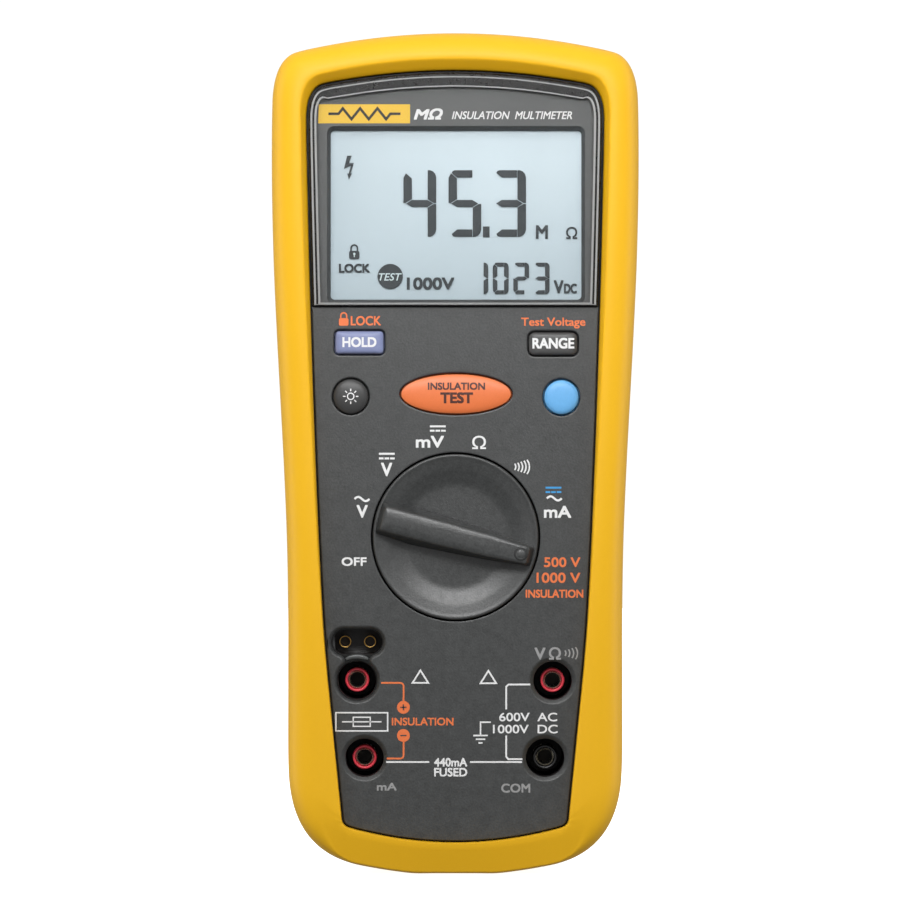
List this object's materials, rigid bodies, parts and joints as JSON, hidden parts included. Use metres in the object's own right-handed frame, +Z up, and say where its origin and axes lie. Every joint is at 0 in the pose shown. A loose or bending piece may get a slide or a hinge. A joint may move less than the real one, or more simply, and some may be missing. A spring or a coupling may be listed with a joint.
{
  "type": "insulation resistance tester",
  "caption": "Hand-held insulation resistance tester with a soft holster, a liquid crystal display, keys, a rotary switch, shrouded jacks and a folding rear stand.",
  "frame": {"origin": "on the surface it stands on, under the middle of its width and depth", "axes": "+Z up its length towards the display, -Y out of its face, +X to the right seen from the front"},
  "size_m": [0.0886, 0.05, 0.203],
  "materials": {
    "holster_yellow": "soft matt moulding",
    "case_grey": "fine spark texture",
    "black_plastic": "smooth",
    "mask_grey": "printed, satin",
    "clear_lens": "clear, polished",
    "lcd_glass": "polarised, satin",
    "diffuser_white": "smooth",
    "board_green": "solder resist",
    "silicone": "matt",
    "key_violet": "satin",
    "key_grey": "satin",
    "key_orange": "satin",
    "key_blue": "satin",
    "knob_grey": "fine spark texture",
    "ring_red": "smooth",
    "brass": "turned",
    "spring_steel": "plated",
    "fuse_ceramic": "smooth",
    "battery_black": "printed film jacket",
    "label_silver": "satin film",
    "core_ferrite": "taped winding",
    "relay_blue": "smooth",
    "seal_black": "matt"
  },
  "bodies": {
    "case": {"holster": "holster_yellow", "front_case": "case_grey", "rear_case": "case_grey", "case_seal": "seal_black", "display_lens": "clear_lens", "display_mask": "mask_grey", "lcd_panel": "lcd_glass", "lcd_light_guide": "diffuser_white", "lcd_frame": "diffuser_white", "contact_strip_lower": "silicone", "contact_strip_upper": "silicone", "main_board": "board_green", "keypad_mat": "silicone", "detent_spring": "spring_steel", "jack_shroud_plus": "black_plastic", "jack_ring_plus": "ring_red", "jack_contact_plus": "brass", "jack_shroud_volt": "black_plastic", "jack_ring_volt": "ring_red", "jack_contact_volt": "brass", "jack_shroud_current": "black_plastic", "jack_ring_current": "ring_red", "jack_contact_current": "brass", "jack_shroud_common": "black_plastic", "jack_ring_common": "black_plastic", "jack_contact_common": "brass", "probe_socket": "black_plastic", "probe_contact_left": "brass", "probe_contact_right": "brass", "battery_1": "battery_black", "battery_2": "battery_black", "battery_3": "battery_black", "battery_4": "battery_black", "battery_contact_lower": "spring_steel", "battery_contact_upper": "spring_steel", "case_screw_lower_left": "spring_steel", "case_screw_lower_right": "spring_steel", "case_screw_upper_left": "spring_steel", "case_screw_upper_right": "spring_steel", "fuse": "fuse_ceramic", "fuse_clip_left": "spring_steel", "fuse_clip_right": "spring_steel", "step_up_transformer": "core_ferrite", "range_relay": "relay_blue", "sounder": "black_plastic", "rating_label": "label_silver"},
    "knob": {"rotary_knob": "knob_grey", "pointer_dot": "key_grey", "switch_rotor": "diffuser_white", "wiper_spring": "brass"},
    "key_hold": {"key_hold": "key_violet"},
    "key_range": {"key_range": "key_grey"},
    "key_backlight": {"key_backlight": "key_grey"},
    "key_test": {"key_test": "key_orange"},
    "key_function": {"key_function": "key_blue"},
    "stand": {"tilt_stand": "case_grey"},
    "door": {"battery_door": "case_grey"},
    "lock_left": {"door_lock_left": "key_grey"},
    "lock_right": {"door_lock_right": "key_grey"}
  },
  "joints": [
    {"name": "knob_turn", "type": "hinge", "parent": "case", "child": "knob", "pos_m": [0.0001, -0.021, 0.0813], "axis": [0, -1, 0], "range_deg": [0, 208.5]},
    {"name": "hold_press", "type": "slide", "parent": "case", "child": "key_hold", "axis": [0, 1, 0], "range_m": [0, 0.0011], "stiffness_N_per_m": 400, "springref_m": -0.001, "deforming": ["keypad_mat"]},
    {"name": "range_press", "type": "slide", "parent": "case", "child": "key_range", "axis": [0, 1, 0], "range_m": [0, 0.0011], "stiffness_N_per_m": 400, "springref_m": -0.001, "deforming": ["keypad_mat"]},
    {"name": "backlight_press", "type": "slide", "parent": "case", "child": "key_backlight", "axis": [0, 1, 0], "range_m": [0, 0.0011], "stiffness_N_per_m": 400, "springref_m": -0.001, "deforming": ["keypad_mat"]},
    {"name": "test_press", "type": "slide", "parent": "case", "child": "key_test", "axis": [0, 1, 0], "range_m": [0, 0.0011], "stiffness_N_per_m": 400, "springref_m": -0.001, "deforming": ["keypad_mat"]},
    {"name": "function_press", "type": "slide", "parent": "case", "child": "key_function", "axis": [0, 1, 0], "range_m": [0, 0.0011], "stiffness_N_per_m": 400, "springref_m": -0.001, "deforming": ["keypad_mat"]},
    {"name": "stand_tilt", "type": "hinge", "parent": "case", "child": "stand", "pos_m": [0, 0.0233, 0.118], "axis": [1, 0, 0], "range_deg": [0, 60]},
    {"name": "door_lift", "type": "slide", "parent": "case", "child": "door", "axis": [0, 1, 0], "range_m": [0, 0.025]},
    {"name": "lock_left_turn", "type": "hinge", "parent": "door", "child": "lock_left", "pos_m": [-0.0195, 0.0215, 0.0282], "axis": [0, 1, 0], "range_deg": [0, 90]},
    {"name": "lock_right_turn", "type": "hinge", "parent": "door", "child": "lock_right", "pos_m": [0.0195, 0.0215, 0.0282], "axis": [0, 1, 0], "range_deg": [0, 90]}
  ]
}
